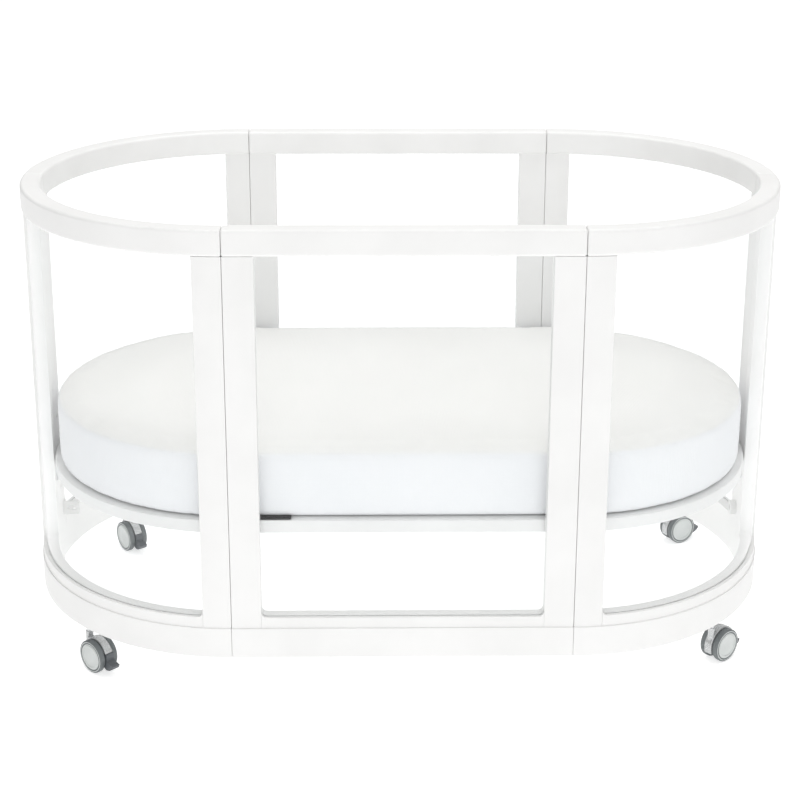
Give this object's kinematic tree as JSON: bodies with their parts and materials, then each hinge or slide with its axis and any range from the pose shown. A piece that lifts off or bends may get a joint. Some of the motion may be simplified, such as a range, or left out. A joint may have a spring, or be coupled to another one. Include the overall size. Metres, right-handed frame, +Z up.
{
  "type": "baby crib",
  "caption": "Oval baby crib with white-painted framed panels, clear windows, a fitted mattress on a hard base and twin-wheel casters with brake pedals.",
  "frame": {"origin": "on the floor, under the middle of the crib", "axes": "+X along the length to the right, +Y to the back, +Z up"},
  "size_m": [1.263, 0.713, 0.79],
  "materials": {
    "painted_wood": "satin white paint",
    "bare_wood": "bare beech",
    "clear_plastic": "clear and glossy",
    "mattress_cloth": "soft off-white cover",
    "tyre_rubber": "matte dark grey",
    "hub_plastic": "satin light grey",
    "silver_plastic": "pale silver",
    "dark_plastic": "dark blue-grey",
    "white_plastic": "white",
    "steel": "zinc plated"
  },
  "bodies": {
    "frame": {"front_top_rail": "painted_wood", "front_bottom_rail": "painted_wood", "front_stiles": "painted_wood", "front_window": "clear_plastic", "back_top_rail": "painted_wood", "back_bottom_rail": "painted_wood", "back_stiles": "painted_wood", "back_window": "clear_plastic", "front_left_top_rail": "painted_wood", "front_left_bottom_rail": "painted_wood", "front_left_stiles": "painted_wood", "front_left_window": "clear_plastic", "front_right_top_rail": "painted_wood", "front_right_bottom_rail": "painted_wood", "front_right_stiles": "painted_wood", "front_right_window": "clear_plastic", "back_left_top_rail": "painted_wood", "back_left_bottom_rail": "painted_wood", "back_left_stiles": "painted_wood", "back_left_window": "clear_plastic", "back_right_top_rail": "painted_wood", "back_right_bottom_rail": "painted_wood", "back_right_stiles": "painted_wood", "back_right_window": "clear_plastic", "frame_dowels": "bare_wood", "joining_cams": "white_plastic", "joining_rods": "steel", "base_screws": "steel", "base_brackets": "steel", "left_end_slotted_lug": "white_plastic", "right_end_fixing_knob": "white_plastic", "base_board": "painted_wood", "caster_sockets": "steel"},
    "mattress": {"mattress": "mattress_cloth"},
    "front_left_caster": {"front_left_caster_housing": "silver_plastic", "front_left_caster_stem": "steel"},
    "front_left_wheels": {"front_left_caster_axle": "steel", "front_left_caster_tyres": "tyre_rubber", "front_left_caster_hubs": "hub_plastic"},
    "front_left_pedal": {"front_left_caster_pedal": "dark_plastic"},
    "front_right_caster": {"front_right_caster_housing": "silver_plastic", "front_right_caster_stem": "steel"},
    "front_right_wheels": {"front_right_caster_axle": "steel", "front_right_caster_tyres": "tyre_rubber", "front_right_caster_hubs": "hub_plastic"},
    "front_right_pedal": {"front_right_caster_pedal": "dark_plastic"},
    "back_left_caster": {"back_left_caster_housing": "silver_plastic", "back_left_caster_stem": "steel"},
    "back_left_wheels": {"back_left_caster_axle": "steel", "back_left_caster_tyres": "tyre_rubber", "back_left_caster_hubs": "hub_plastic"},
    "back_left_pedal": {"back_left_caster_pedal": "dark_plastic"},
    "back_right_caster": {"back_right_caster_housing": "silver_plastic", "back_right_caster_stem": "steel"},
    "back_right_wheels": {"back_right_caster_axle": "steel", "back_right_caster_tyres": "tyre_rubber", "back_right_caster_hubs": "hub_plastic"},
    "back_right_pedal": {"back_right_caster_pedal": "dark_plastic"}
  },
  "joints": [
    {"name": "mattress_lift", "type": "slide", "parent": "frame", "child": "mattress", "axis": [0, 0, 1], "range_m": [0, 0.45]},
    {"name": "front_left_swivel", "type": "hinge", "parent": "frame", "child": "front_left_caster", "pos_m": [-0.52262, -0.23663, 0.09], "axis": [0, 0, 1], "continuous": true},
    {"name": "front_left_roll", "type": "hinge", "parent": "front_left_caster", "child": "front_left_wheels", "pos_m": [-0.50679, -0.25191, 0.0285], "axis": [0.6947, 0.7193, 0], "continuous": true},
    {"name": "front_left_brake", "type": "hinge", "parent": "front_left_caster", "child": "front_left_pedal", "pos_m": [-0.49155, -0.26663, 0.03977], "axis": [0.6947, 0.7193, 0], "range_deg": [0, 8]},
    {"name": "front_right_swivel", "type": "hinge", "parent": "frame", "child": "front_right_caster", "pos_m": [0.52262, -0.23663, 0.09], "axis": [0, 0, 1], "continuous": true},
    {"name": "front_right_roll", "type": "hinge", "parent": "front_right_caster", "child": "front_right_wheels", "pos_m": [0.53947, -0.22249, 0.0285], "axis": [-0.6428, 0.766, 0], "continuous": true},
    {"name": "front_right_brake", "type": "hinge", "parent": "front_right_caster", "child": "front_right_pedal", "pos_m": [0.5557, -0.20886, 0.03977], "axis": [-0.6428, 0.766, 0], "range_deg": [0, 8]},
    {"name": "back_left_swivel", "type": "hinge", "parent": "frame", "child": "back_left_caster", "pos_m": [-0.52262, 0.23663, 0.09], "axis": [0, 0, 1], "continuous": true},
    {"name": "back_left_roll", "type": "hinge", "parent": "back_left_caster", "child": "back_left_wheels", "pos_m": [-0.50969, 0.21883, 0.0285], "axis": [0.809, 0.5878, 0], "continuous": true},
    {"name": "back_left_brake", "type": "hinge", "parent": "back_left_caster", "child": "back_left_pedal", "pos_m": [-0.49723, 0.20169, 0.03977], "axis": [0.809, 0.5878, 0], "range_deg": [0, 8]},
    {"name": "back_right_swivel", "type": "hinge", "parent": "frame", "child": "back_right_caster", "pos_m": [0.52262, 0.23663, 0.09], "axis": [0, 0, 1], "continuous": true},
    {"name": "back_right_roll", "type": "hinge", "parent": "back_right_caster", "child": "back_right_wheels", "pos_m": [0.54222, 0.24662, 0.0285], "axis": [-0.454, 0.891, 0], "continuous": true},
    {"name": "back_right_brake", "type": "hinge", "parent": "back_right_caster", "child": "back_right_pedal", "pos_m": [0.5611, 0.25623, 0.03977], "axis": [-0.454, 0.891, 0], "range_deg": [0, 8]}
  ]
}
